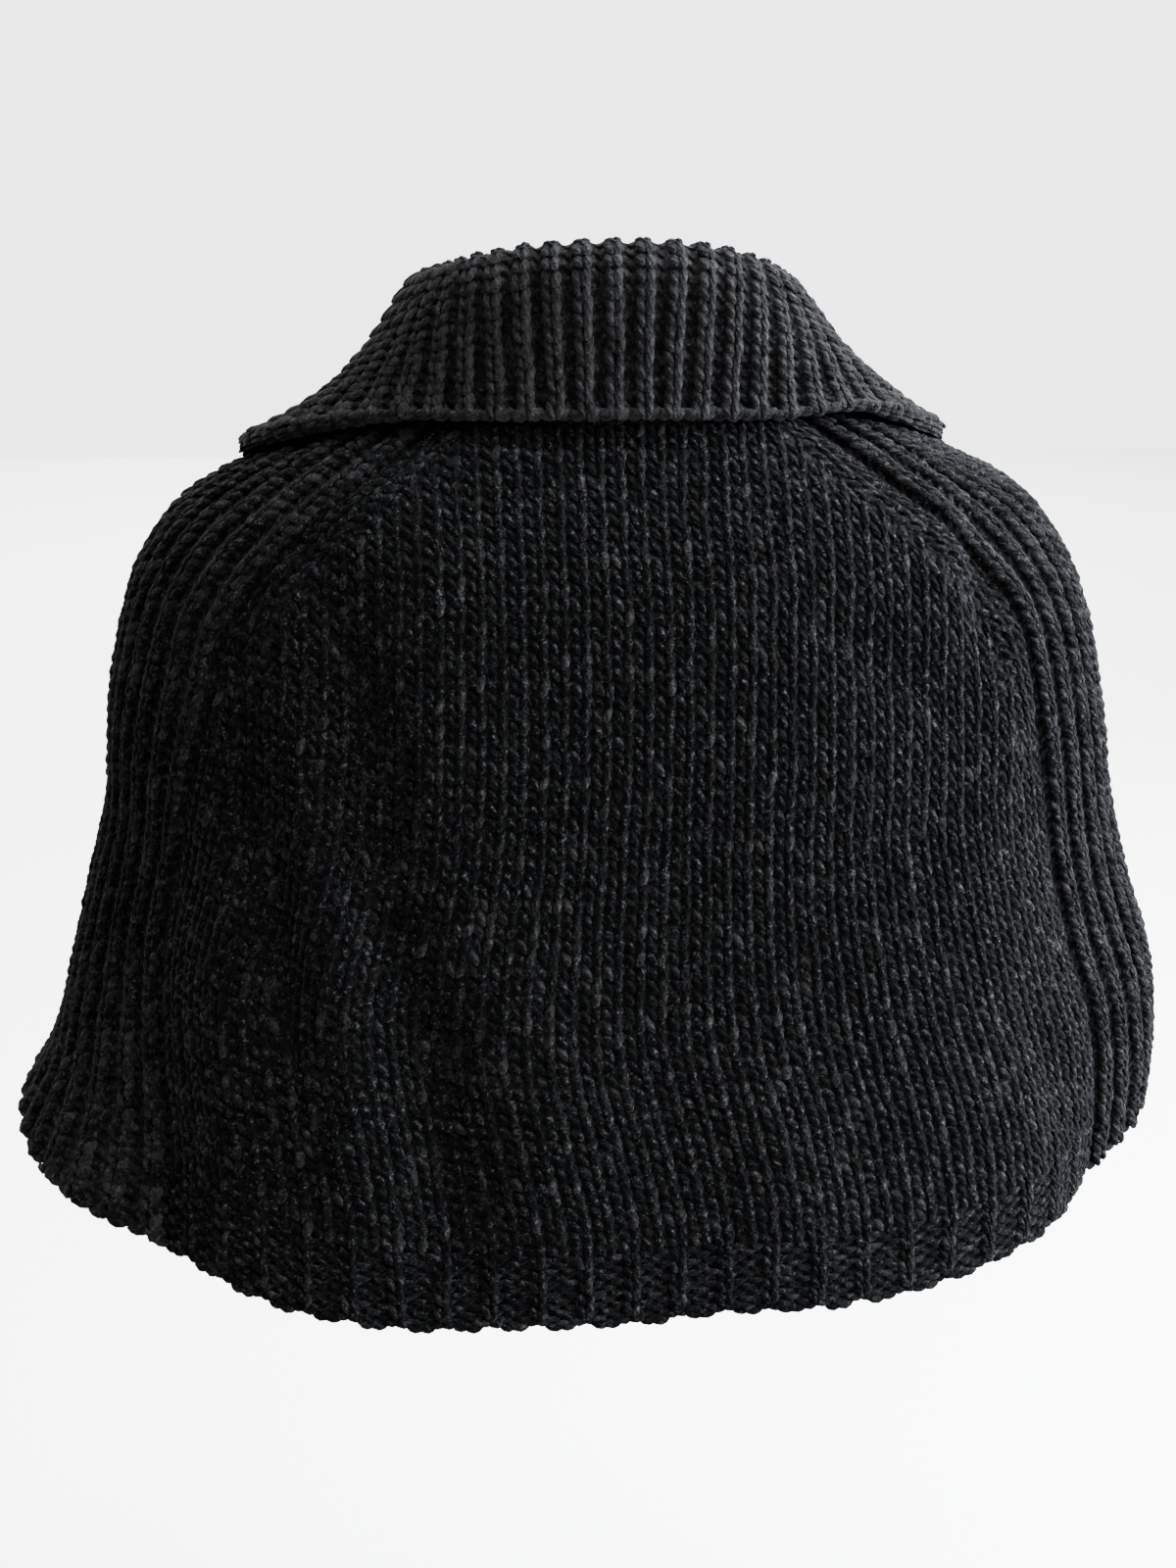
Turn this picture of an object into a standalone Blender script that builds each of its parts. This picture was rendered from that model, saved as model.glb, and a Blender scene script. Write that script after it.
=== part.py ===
"""A chunky hand-knitted poncho: two plain knit panels, two ribbed shoulder panels and a folded rib collar.

The garment is hollow and keeps its worn form. Metres, +Z up, the front faces -Y and the wearer's left is +X.
The origin is the middle of the neck, level with the shoulder seams' upper ends.
"""

import bmesh
import bpy
import numpy as np

# The cloth: its wall, how far rib wales stand out of it, the gap left on each side of a seam and at the
# neck seam, and the level by which the ribs have risen to their full height below that seam.
WALL = 0.0036
RIB_RAISE = 0.0025
COLLAR_RAISE = 0.0024
SEAM_INSET = 0.0004
NECK_GAP = 0.0005
RIB_START = 0.03

# The four panels of the body: the side and face of the two seams that each runs between, its ribs, its rows
# of sections above the hem band, the band's share of its length (none where it is rib all over) and the
# level where its raglan shaping has reached the full width.
PANEL_COLUMNS = ("first", "last", "ribs", "rows", "band", "full_level")
PANELS = {
    "back_panel": ((-1, 1), (1, 1), 23, 12, 0.08, 0.50),
    "front_panel": ((1, -1), (-1, -1), 23, 12, 0.08, 0.50),
    "shoulder_left": ((1, 1), (1, -1), 15, 16, 0.0, 0.28),
    "shoulder_right": ((-1, -1), (-1, 1), 15, 16, 0.0, 0.28),
}
BAND_ROWS = (0.2, 1.0)
COLLAR_RIBS = 56

# How finely lengths round a section and widths down a raglan are measured, and the step of a slope.
ARC_STEPS = 49
RAGLAN_STEPS = 41
SLOPE_STEP = 0.002

# The body from the neck (level 0) to the hem (level 1): half widths, depths and heights of each section,
# how square it is, how sharply it falls from its sides to the back, where the seams stand across it, and
# how deep the flutes beside the seams are.
BODY_COLUMNS = (
    "level", "left_x", "right_x", "left_z", "right_z", "back_y", "back_z", "front_y", "front_z",
    "square", "back_droop", "seam_left", "seam_right", "flute",
)
BODY_SECTIONS = (
    (0.00, 0.0835, 0.0805, -0.002, -0.002, 0.080, 0.012, 0.085, -0.050, 2.2, 1.8, 0.83, 0.83, 0.000),
    (0.10, 0.1240, 0.1200, -0.012, -0.012, 0.098, -0.026, 0.098, -0.083, 3.5, 3.2, 0.84, 0.845, 0.000),
    (0.20, 0.1645, 0.1590, -0.028, -0.029, 0.117, -0.066, 0.113, -0.118, 3.2, 2.8, 0.85, 0.86, 0.000),
    (0.30, 0.2065, 0.2000, -0.055, -0.054, 0.127, -0.109, 0.126, -0.153, 2.7, 2.2, 0.84, 0.85, 0.000),
    (0.35, 0.2215, 0.2155, -0.077, -0.077, 0.131, -0.130, 0.132, -0.171, 2.5, 1.9, 0.838, 0.845, 0.000),
    (0.40, 0.2280, 0.2235, -0.097, -0.097, 0.135, -0.151, 0.137, -0.188, 2.5, 1.8, 0.84, 0.84, 0.001),
    (0.50, 0.2365, 0.2325, -0.141, -0.141, 0.141, -0.194, 0.143, -0.222, 2.5, 1.8, 0.860, 0.850, 0.004),
    (0.60, 0.2390, 0.2380, -0.186, -0.185, 0.148, -0.236, 0.147, -0.256, 2.5, 1.8, 0.895, 0.870, 0.008),
    (0.70, 0.2490, 0.2475, -0.229, -0.227, 0.156, -0.278, 0.154, -0.290, 2.5, 1.8, 0.905, 0.885, 0.011),
    (0.80, 0.2590, 0.2600, -0.271, -0.267, 0.166, -0.318, 0.162, -0.325, 2.5, 1.8, 0.875, 0.890, 0.012),
    (0.90, 0.2690, 0.2625, -0.308, -0.302, 0.177, -0.357, 0.171, -0.359, 2.5, 1.8, 0.830, 0.890, 0.012),
    (1.00, 0.2865, 0.2590, -0.341, -0.330, 0.187, -0.394, 0.180, -0.389, 2.5, 1.8, 0.780, 0.880, 0.011),
)
# Half the width of a flute, and how sharply a section falls from its sides to the front.
FLUTE_WIDTH = 0.034
FRONT_DROOP = 1.8

# The largest soft folds: where each one's top is round the body, how far it leans by its foot, the levels
# it runs between, its half width and how far it goes in (or out, below zero).
FOLD_COLUMNS = ("angle", "lean", "top", "foot", "width", "depth")
FOLD_ROWS = (
    (0.95, -0.30, 0.14, 0.68, 0.018, 0.0070),
    (0.71, -0.32, 0.50, 1.02, 0.019, 0.0060),
    (1.04, -0.45, 0.25, 0.98, 0.018, -0.0050),
    (1.13, -0.40, 0.20, 0.96, 0.018, 0.0060),
    (-1.05, 0.16, 0.14, 0.36, 0.013, -0.0035),
    (-1.10, 0.10, 0.19, 0.43, 0.010, 0.0040),
    (-1.14, 0.20, 0.24, 0.60, 0.014, -0.0040),
    (-0.50, -0.52, 0.18, 0.46, 0.015, 0.0035),
    (-0.98, -0.06, 0.62, 1.00, 0.018, 0.0050),
    (0.16, 0.03, 0.60, 1.05, 0.026, -0.0035),
    (-0.34, -0.03, 0.62, 1.05, 0.026, -0.0035),
    (2.36, 0.12, 0.22, 0.66, 0.016, 0.0055),
    (2.52, 0.10, 0.52, 1.00, 0.018, 0.0055),
    (-2.34, -0.12, 0.24, 0.68, 0.016, 0.0055),
    (-2.58, -0.08, 0.54, 1.00, 0.018, 0.0050),
    (3.05, 0.02, 0.60, 1.05, 0.028, -0.0035),
)

# Where round the neck the collar's free edge waves up, over what half angle, and by how much of its width.
EDGE_WAVE_COLUMNS = ("angle", "width", "rise")
EDGE_WAVE_ROWS = (
    (-1.08, 0.24, 0.050),
    (0.95, 0.28, 0.020),
)
EDGE_WAVE_POWER = 8

# Where round the body the hem hangs a little lower (or higher, below zero), over what half angle, how far.
HEM_SAG_COLUMNS = ("angle", "width", "drop")
HEM_SAG_ROWS = (
    (0.62, 0.24, 0.0055),
    (-0.22, 0.20, -0.0040),
)
HEM_SAG_POWER = 4

# The collar's cloth from the neck seam (level 0) over the fold to its free edge (level 1), with the same
# columns as far as the droop, and the levels of the extra sections round the fold.
COLLAR_SECTIONS = (
    (0.00, 0.0835, 0.0805, -0.002, -0.002, 0.0800, 0.012, 0.0850, -0.050, 2.2, 1.8),
    (0.05, 0.0800, 0.0770, 0.001, 0.001, 0.0780, 0.018, 0.0830, -0.044, 2.2, 1.8),
    (0.14, 0.0770, 0.0745, 0.013, 0.012, 0.0770, 0.032, 0.0820, -0.032, 2.2, 1.8),
    (0.28, 0.0790, 0.0755, 0.036, 0.033, 0.0780, 0.052, 0.0860, -0.014, 2.3, 1.8),
    (0.40, 0.0815, 0.0765, 0.051, 0.046, 0.0790, 0.067, 0.0920, -0.002, 2.4, 1.8),
    (0.48, 0.0870, 0.0820, 0.057, 0.051, 0.0870, 0.075, 0.1020, 0.002, 2.4, 1.8),
    (0.56, 0.0960, 0.0895, 0.047, 0.042, 0.0955, 0.068, 0.1100, -0.007, 2.3, 1.8),
    (0.70, 0.1145, 0.1060, 0.020, 0.020, 0.0965, 0.047, 0.1150, -0.032, 2.2, 1.5),
    (0.85, 0.1375, 0.1310, -0.002, -0.002, 0.0950, 0.023, 0.1190, -0.060, 2.0, 1.2),
    (1.00, 0.1730, 0.1560, -0.0240, -0.0205, 0.0940, 0.001, 0.1240, -0.088, 1.85, 0.9),
)
COLLAR_EXTRA_LEVELS = (0.21, 0.34, 0.44)
COLLAR_FOLD = 0.48

# How much wider apart than even the ribs stand at the back and front, along the fold and the free edge.
FOLD_CROWDING = 0.27
EDGE_CROWDING = -0.20

COLOURS = {
    "back_panel": (0.020, 0.021, 0.024),
    "front_panel": (0.020, 0.021, 0.024),
    "shoulder_left": (0.024, 0.025, 0.028),
    "shoulder_right": (0.024, 0.025, 0.028),
    "collar": (0.022, 0.023, 0.026),
}


def named(columns, rows):
    """A table's columns by name."""
    return {name: np.array(values, float) for name, values in zip(columns, zip(*rows))}


BODY = named(BODY_COLUMNS, BODY_SECTIONS)
COLLAR = named(BODY_COLUMNS, COLLAR_SECTIONS)
FOLDS = named(FOLD_COLUMNS, FOLD_ROWS)
HEM_SAG = named(HEM_SAG_COLUMNS, HEM_SAG_ROWS)
EDGE_WAVES = named(EDGE_WAVE_COLUMNS, EDGE_WAVE_ROWS)


def smooth(table, name, level):
    """A column at any level, on a smooth curve through the table's rows."""
    knots = table["level"]
    values = table[name]
    slopes = np.gradient(values, knots)
    low = np.clip(np.searchsorted(knots, level, side="right") - 1, 0, len(knots) - 2)
    span = knots[low + 1] - knots[low]
    t = (level - knots[low]) / span
    start = values[low] * (1 + 2 * t) * (1 - t) ** 2 + slopes[low] * span * t * (1 - t) ** 2
    end = values[low + 1] * t**2 * (3 - 2 * t) + slopes[low + 1] * span * t**2 * (t - 1)
    return start + end


def seam_angle(level, side, face):
    """Where a seam stands on a section: side is 1 on the left, face is 1 on the back and -1 on the front."""
    square = smooth(BODY, "square", level)
    across = smooth(BODY, "seam_left" if side > 0 else "seam_right", level)
    half = smooth(BODY, "left_x" if side > 0 else "right_x", level)
    depth = smooth(BODY, "back_y" if face > 0 else "front_y", level)
    deep = (1 - across**square) ** (1 / square)
    return np.arctan2(side * across * half, face * deep * depth)


def turn_between(angle, other):
    """The signed angle from one direction to another, between -pi and pi."""
    return (angle - other + np.pi) % (2 * np.pi) - np.pi


def dips(level, angle, reach):
    """How far the cloth goes in: the flutes beside the four seams and the soft folds."""
    seams = 0
    for side in (1, -1):
        for face in (1, -1):
            away = turn_between(angle, seam_angle(level, side, face)) * reach
            seams = seams + np.exp(-((away / FLUTE_WIDTH) ** 2))
    total = smooth(BODY, "flute", level) * seams
    for top_angle, lean, top, foot, width, depth in zip(*(FOLDS[name] for name in FOLD_COLUMNS)):
        along = (level - top) / (foot - top)
        away = turn_between(angle, top_angle + lean * along) * reach
        fade = np.sin(np.pi * np.clip(along, 0, 1)) ** 2
        total = total + depth * fade * np.exp(-((away / width) ** 2))
    return total


def drawn_up(level, angle):
    """The collar's level, drawn back from its edge where the edge waves up."""
    for at, width, rise in zip(*(EDGE_WAVES[name] for name in EDGE_WAVE_COLUMNS)):
        level = level - rise * level**EDGE_WAVE_POWER * np.exp(-((turn_between(angle, at) / width) ** 2))
    return level


def ring(table, level, angle):
    """Points on the middle of the cloth; angle runs from the back (0) over the wearer's left."""
    level, angle = np.broadcast_arrays(np.asarray(level, float), np.asarray(angle, float))
    if "flute" not in table:
        level = drawn_up(level, angle)
    sine, cosine = np.sin(angle), np.cos(angle)
    square = smooth(table, "square", level)
    half = np.where(sine > 0, smooth(table, "left_x", level), smooth(table, "right_x", level))
    depth = np.where(cosine > 0, smooth(table, "back_y", level), smooth(table, "front_y", level))
    far_z = np.where(cosine > 0, smooth(table, "back_z", level), smooth(table, "front_z", level))
    side_z = np.where(sine > 0, smooth(table, "left_z", level), smooth(table, "right_z", level))
    reach = ((np.abs(sine) / half) ** square + (np.abs(cosine) / depth) ** square) ** (-1 / square)
    droop = np.where(cosine > 0, smooth(table, "back_droop", level), FRONT_DROOP)
    z = side_z + (far_z - side_z) * (reach * np.abs(cosine) / depth) ** droop
    if "flute" in table:
        reach = reach - dips(level, angle, reach)
        for at, width, drop in zip(*(HEM_SAG[name] for name in HEM_SAG_COLUMNS)):
            z = z - drop * level**HEM_SAG_POWER * np.exp(-((turn_between(angle, at) / width) ** 2))
    return np.stack([reach * sine, reach * cosine, z], axis=-1)


def outward(table, level, angle):
    """The cloth's normal: out of the body, and out of the side of the collar that shows."""
    low = np.clip(level - SLOPE_STEP, 0, 1)
    high = np.clip(level + SLOPE_STEP, 0, 1)
    down = ring(table, high, angle) - ring(table, low, angle)
    round_it = ring(table, level, angle + SLOPE_STEP) - ring(table, level, angle - SLOPE_STEP)
    facing = np.cross(round_it, down)
    return facing / np.linalg.norm(facing, axis=-1, keepdims=True)


def seam_span(level, cut):
    """The angles of the two seams that a panel runs between, less half a gap at each."""
    first = seam_angle(level, *cut["first"])
    last = seam_angle(level, *cut["last"])
    last = np.where(last < first, last + 2 * np.pi, last)
    inset = SEAM_INSET / np.hypot(*np.moveaxis(ring(BODY, level, first)[..., :2], -1, 0))
    return first + inset, last - inset


def width_at(level, cut):
    """The width of a panel, measured round the body."""
    first, last = seam_span(level, cut)
    angles = first + (last - first) * np.linspace(0, 1, ARC_STEPS)
    return np.linalg.norm(np.diff(ring(BODY, level, angles), axis=0), axis=1).sum()


def angle_at(level, share, cut):
    """The angle that a share of the panel's width round the body comes to."""
    first, last = seam_span(level, cut)
    angles = first + (last - first) * np.linspace(0, 1, ARC_STEPS)
    lengths = np.linalg.norm(np.diff(ring(BODY, level, angles), axis=0), axis=1)
    along = np.concatenate([[0], np.cumsum(lengths)])
    return np.interp(share * along[-1], along, angles)


def panel_grid(cut):
    """Levels and angles of a panel's points: its wales run straight down, and the seams cut the outer."""
    levels = np.linspace(0, cut["full_level"], RAGLAN_STEPS)
    widths = np.array([width_at(level, cut) for level in levels])
    shares = np.linspace(0, 1, 2 * cut["ribs"] + 1)
    tops = np.interp(np.abs(shares * 2 - 1) * widths[-1], widths, levels)
    band_top = 1 - cut["band"]
    level = tops + (band_top - tops) * np.linspace(0, 1, cut["rows"] + 1)[:, None]
    if cut["band"]:
        band = band_top + cut["band"] * np.array(BAND_ROWS)[:, None]
        level = np.concatenate([level, np.broadcast_to(band, (len(band), len(shares)))])
    wide = np.interp(level, levels, widths)
    across = np.clip(0.5 + (shares - 0.5) * widths[-1] / wide, 0, 1)
    points = zip(level.ravel(), across.ravel())
    angle = np.array([angle_at(one, share, cut) for one, share in points]).reshape(level.shape)
    return level, angle


def solid(name, outer, inner, closed):
    """A wall between two grids of points: rows run down, and columns run round and may close."""
    rows, columns = outer.shape[:2]
    mesh = bpy.data.meshes.new(name)
    flat = np.concatenate([outer.reshape(-1, 3), inner.reshape(-1, 3)])
    half = rows * columns
    faces = []
    spans = columns if closed else columns - 1
    for r in range(rows - 1):
        for c in range(spans):
            d = (c + 1) % columns
            quad = (r * columns + c, r * columns + d, (r + 1) * columns + d, (r + 1) * columns + c)
            faces.append(quad[::-1])
            faces.append(tuple(half + i for i in quad))
    edge = []
    for c in range(spans):
        d = (c + 1) % columns
        edge.append((d, c))
        edge.append(((rows - 1) * columns + c, (rows - 1) * columns + d))
    if not closed:
        for r in range(rows - 1):
            edge.append((r * columns, (r + 1) * columns))
            edge.append(((r + 2) * columns - 1, (r + 1) * columns - 1))
    for a, b in edge:
        faces.append((a, b, half + b, half + a))
    mesh.from_pydata([tuple(p) for p in flat], [], faces)
    build = bmesh.new()
    build.from_mesh(mesh)
    bmesh.ops.triangulate(build, faces=build.faces[:], quad_method="SHORT_EDGE")
    bmesh.ops.recalc_face_normals(build, faces=build.faces[:])
    build.to_mesh(mesh)
    build.free()
    material = bpy.data.materials.new(name)
    material.use_nodes = True
    shader = material.node_tree.nodes["Principled BSDF"]
    shader.inputs["Base Color"].default_value = (*COLOURS[name], 1.0)
    shader.inputs["Roughness"].default_value = 0.95
    mesh.materials.append(material)
    piece = bpy.data.objects.new(name, mesh)
    GARMENT.objects.link(piece)
    return piece


def panel(name, cut):
    """One panel of the body, with its rib wales standing out of the band, or all over if it has none."""
    level, angle = panel_grid(cut)
    middle = ring(BODY, level, angle)
    facing = outward(BODY, level, angle)
    ribbed = np.arange(len(level)) > cut["rows"] if cut["band"] else np.full(len(level), True)
    ribs = RIB_RAISE * np.clip(level / RIB_START, 0, 1) * ribbed[:, None]
    ribs = ribs * (np.arange(level.shape[1]) % 2)
    return solid(name, middle + facing * (WALL / 2 + ribs)[..., None], middle - facing * WALL / 2, False)


def collar(name):
    """The folded collar: one ring of rib that goes up, over and down again."""
    columns = 2 * COLLAR_RIBS
    turn = np.arange(columns) / columns
    level = np.sort(np.concatenate([COLLAR["level"], COLLAR_EXTRA_LEVELS]))
    full = np.linspace(0, 2 * np.pi, 4 * ARC_STEPS + 1)
    crowding = np.interp(level, (0, COLLAR_FOLD, 1), (0, FOLD_CROWDING, EDGE_CROWDING))
    angle = []
    for one, crowd in zip(level, crowding):
        lengths = np.linalg.norm(np.diff(ring(COLLAR, one, full), axis=0), axis=1)
        along = np.concatenate([[0], np.cumsum(lengths)])
        share = turn + crowd * np.sin(4 * np.pi * turn) / (4 * np.pi)
        angle.append(np.interp(share * along[-1], along, full))
    angle = np.array(angle)
    level = np.broadcast_to(level[:, None], angle.shape)
    middle = ring(COLLAR, level, angle)
    facing = outward(COLLAR, level, angle)
    facing[0] = -outward(BODY, 0.0, angle[0])
    rise = middle[0] - ring(BODY, SLOPE_STEP, angle[0])
    middle[0] += rise / np.linalg.norm(rise, axis=-1, keepdims=True) * NECK_GAP
    ribs = (np.arange(columns) % 2) * COLLAR_RAISE * np.clip(level / RIB_START, 0, 1)
    return solid(name, middle + facing * (WALL / 2 + ribs)[..., None], middle - facing * WALL / 2, True)


for old in list(bpy.data.objects):
    bpy.data.objects.remove(old, do_unlink=True)
GARMENT = bpy.data.collections.new("poncho")
bpy.context.scene.collection.children.link(GARMENT)

for name, row in PANELS.items():
    panel(name, dict(zip(PANEL_COLUMNS, row)))
collar("collar")
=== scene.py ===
"""Looks for the chunky knitted poncho: real stitches on its panels, ribbed sides and folded collar."""

import bpy
import numpy as np
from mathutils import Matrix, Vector


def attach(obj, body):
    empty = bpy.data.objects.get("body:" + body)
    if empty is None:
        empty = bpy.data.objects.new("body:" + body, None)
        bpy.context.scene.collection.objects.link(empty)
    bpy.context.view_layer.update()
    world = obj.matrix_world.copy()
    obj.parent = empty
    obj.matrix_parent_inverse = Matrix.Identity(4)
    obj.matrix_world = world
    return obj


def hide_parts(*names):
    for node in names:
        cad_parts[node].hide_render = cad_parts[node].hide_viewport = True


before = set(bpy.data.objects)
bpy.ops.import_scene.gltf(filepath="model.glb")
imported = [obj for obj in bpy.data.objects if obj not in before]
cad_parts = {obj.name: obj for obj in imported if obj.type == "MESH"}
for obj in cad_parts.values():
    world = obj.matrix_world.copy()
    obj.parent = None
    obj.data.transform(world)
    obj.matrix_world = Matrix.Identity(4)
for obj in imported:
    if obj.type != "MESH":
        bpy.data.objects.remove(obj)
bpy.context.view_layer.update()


# The two plain panels, back and front. Each is one piece of stockinette with a ribbed hem band, knitted
# from thick charcoal wool at about one stitch to the centimetre. The body that they make with the side
# panels is given here by its sections from neck to hem, and every piece below follows it.
BODY_COLUMNS = (
    "level", "left_x", "right_x", "left_z", "right_z", "back_y", "back_z", "front_y", "front_z",
    "square", "back_droop", "seam_left", "seam_right", "flute",
)
BODY_SECTIONS = (
    (0.00, 0.0835, 0.0805, -0.002, -0.002, 0.080, 0.012, 0.085, -0.050, 2.2, 1.8, 0.83, 0.83, 0.000),
    (0.10, 0.1240, 0.1200, -0.012, -0.012, 0.098, -0.026, 0.098, -0.083, 3.5, 3.2, 0.84, 0.845, 0.000),
    (0.20, 0.1645, 0.1590, -0.028, -0.029, 0.117, -0.066, 0.113, -0.118, 3.2, 2.8, 0.85, 0.86, 0.000),
    (0.30, 0.2065, 0.2000, -0.055, -0.054, 0.127, -0.109, 0.126, -0.153, 2.7, 2.2, 0.84, 0.85, 0.000),
    (0.35, 0.2215, 0.2155, -0.077, -0.077, 0.131, -0.130, 0.132, -0.171, 2.5, 1.9, 0.838, 0.845, 0.000),
    (0.40, 0.2280, 0.2235, -0.097, -0.097, 0.135, -0.151, 0.137, -0.188, 2.5, 1.8, 0.84, 0.84, 0.001),
    (0.50, 0.2365, 0.2325, -0.141, -0.141, 0.141, -0.194, 0.143, -0.222, 2.5, 1.8, 0.860, 0.850, 0.004),
    (0.60, 0.2390, 0.2380, -0.186, -0.185, 0.148, -0.236, 0.147, -0.256, 2.5, 1.8, 0.895, 0.870, 0.008),
    (0.70, 0.2490, 0.2475, -0.229, -0.227, 0.156, -0.278, 0.154, -0.290, 2.5, 1.8, 0.905, 0.885, 0.011),
    (0.80, 0.2590, 0.2600, -0.271, -0.267, 0.166, -0.318, 0.162, -0.325, 2.5, 1.8, 0.875, 0.890, 0.012),
    (0.90, 0.2690, 0.2625, -0.308, -0.302, 0.177, -0.357, 0.171, -0.359, 2.5, 1.8, 0.830, 0.890, 0.012),
    (1.00, 0.2865, 0.2590, -0.341, -0.330, 0.187, -0.394, 0.180, -0.389, 2.5, 1.8, 0.780, 0.880, 0.011),
)
FLUTE_WIDTH = 0.034
FRONT_DROOP = 1.8
FOLD_COLUMNS = ("angle", "lean", "top", "foot", "width", "depth")
FOLD_ROWS = (
    (0.95, -0.30, 0.14, 0.68, 0.018, 0.0090),
    (0.71, -0.32, 0.50, 1.02, 0.019, 0.0085),
    (1.04, -0.45, 0.25, 0.98, 0.018, -0.0050),
    (1.13, -0.40, 0.20, 0.96, 0.018, 0.0080),
    (-1.05, 0.16, 0.14, 0.36, 0.013, -0.0035),
    (-1.10, 0.10, 0.19, 0.43, 0.010, 0.0040),
    (-1.14, 0.20, 0.24, 0.60, 0.014, -0.0040),
    (-0.50, -0.52, 0.18, 0.46, 0.015, 0.0035),
    (-0.98, -0.06, 0.62, 1.00, 0.018, 0.0060),
    (0.16, 0.03, 0.60, 1.05, 0.026, -0.0035),
    (-0.34, -0.03, 0.62, 1.05, 0.026, -0.0035),
    (2.36, 0.12, 0.22, 0.66, 0.016, 0.0055),
    (2.52, 0.10, 0.52, 1.00, 0.018, 0.0055),
    (-2.34, -0.12, 0.24, 0.68, 0.016, 0.0055),
    (-2.58, -0.08, 0.54, 1.00, 0.018, 0.0050),
    (3.05, 0.02, 0.60, 1.05, 0.028, -0.0035),
)
HEM_SAG_COLUMNS = ("angle", "width", "drop")
HEM_SAG_ROWS = (
    (0.62, 0.24, 0.0055),
    (-0.22, 0.20, -0.0040),
)
HEM_SAG_POWER = 4
ARC_STEPS = 129
SLOPE_STEP = 0.002
TINY = 1e-12


def named(columns, rows):
    """A table's columns by name."""
    return {name: np.array(values, float) for name, values in zip(columns, zip(*rows))}


BODY = named(BODY_COLUMNS, BODY_SECTIONS)
FOLDS = named(FOLD_COLUMNS, FOLD_ROWS)
HEM_SAG = named(HEM_SAG_COLUMNS, HEM_SAG_ROWS)


def smooth(table, name, level):
    """A column at any level, on a smooth curve through the table's rows."""
    knots = table["level"]
    values = table[name]
    slopes = np.gradient(values, knots)
    low = np.clip(np.searchsorted(knots, level, side="right") - 1, 0, len(knots) - 2)
    span = knots[low + 1] - knots[low]
    t = (level - knots[low]) / span
    start = values[low] * (1 + 2 * t) * (1 - t) ** 2 + slopes[low] * span * t * (1 - t) ** 2
    end = values[low + 1] * t**2 * (3 - 2 * t) + slopes[low + 1] * span * t**2 * (t - 1)
    return start + end


def seam_angle(level, side, face):
    """Where a seam stands on a section: side is 1 on the left, face is 1 on the back, -1 on the front."""
    square = smooth(BODY, "square", level)
    across = smooth(BODY, "seam_left" if side > 0 else "seam_right", level)
    half = smooth(BODY, "left_x" if side > 0 else "right_x", level)
    depth = smooth(BODY, "back_y" if face > 0 else "front_y", level)
    deep = (1 - across**square) ** (1 / square)
    return np.arctan2(side * across * half, face * deep * depth)


def turn_between(angle, other):
    """The signed angle from one direction to another, between -pi and pi."""
    return (angle - other + np.pi) % (2 * np.pi) - np.pi


def dips(level, angle, reach):
    """How far the cloth goes in: the flutes beside the four seams and the soft folds."""
    seams = 0
    for side in (1, -1):
        for face in (1, -1):
            away = turn_between(angle, seam_angle(level, side, face)) * reach
            seams = seams + np.exp(-((away / FLUTE_WIDTH) ** 2))
    total = smooth(BODY, "flute", level) * seams
    for top_angle, lean, top, foot, width, depth in zip(*(FOLDS[name] for name in FOLD_COLUMNS)):
        along = (level - top) / (foot - top)
        away = turn_between(angle, top_angle + lean * along) * reach
        fade = np.sin(np.pi * np.clip(along, 0, 1)) ** 2
        total = total + depth * fade * np.exp(-((away / width) ** 2))
    return total


def ring(table, level, angle):
    """Points on the middle of the cloth; angle runs from the back (0) over the wearer's left."""
    level, angle = np.broadcast_arrays(np.asarray(level, float), np.asarray(angle, float))
    if "flute" not in table:
        level = drawn_up(level, angle)
    sine, cosine = np.sin(angle), np.cos(angle)
    square = smooth(table, "square", level)
    half = np.where(sine > 0, smooth(table, "left_x", level), smooth(table, "right_x", level))
    depth = np.where(cosine > 0, smooth(table, "back_y", level), smooth(table, "front_y", level))
    far_z = np.where(cosine > 0, smooth(table, "back_z", level), smooth(table, "front_z", level))
    side_z = np.where(sine > 0, smooth(table, "left_z", level), smooth(table, "right_z", level))
    reach = ((np.abs(sine) / half) ** square + (np.abs(cosine) / depth) ** square) ** (-1 / square)
    droop = np.where(cosine > 0, smooth(table, "back_droop", level), FRONT_DROOP)
    z = side_z + (far_z - side_z) * (reach * np.abs(cosine) / depth) ** droop
    if "flute" in table:
        reach = reach - dips(level, angle, reach)
        for at, width, drop in zip(*(HEM_SAG[name] for name in HEM_SAG_COLUMNS)):
            z = z - drop * level**HEM_SAG_POWER * np.exp(-((turn_between(angle, at) / width) ** 2))
    return np.stack([reach * sine, reach * cosine, z], axis=-1)


def unit(vectors):
    """The same directions, one long."""
    return vectors / np.maximum(np.linalg.norm(vectors, axis=-1, keepdims=True), TINY)


def outward(table, level, angle):
    """The cloth's normal: out of the body, and out of the side of the collar that shows."""
    low = np.clip(level - SLOPE_STEP, 0, 1)
    high = np.clip(level + SLOPE_STEP, 0, 1)
    down = ring(table, high, angle) - ring(table, low, angle)
    round_it = ring(table, level, angle + SLOPE_STEP) - ring(table, level, angle - SLOPE_STEP)
    return unit(np.cross(round_it, down))


# How a panel is cut: its two seams (side, face), its wales at full width, how many of them run beside each
# seam all the way up, its rows, and the level where the raglan shaping ends.
CUT_COLUMNS = ("first", "last", "wales", "edge_wales", "rows", "full_level")
BACK_CUT = dict(zip(CUT_COLUMNS, ((-1, 1), (1, 1), 46, 2, 71, 0.50)))
FRONT_CUT = dict(zip(CUT_COLUMNS, ((1, -1), (-1, -1), 46, 2, 64, 0.50)))
PANEL_STEPS = 201


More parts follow.
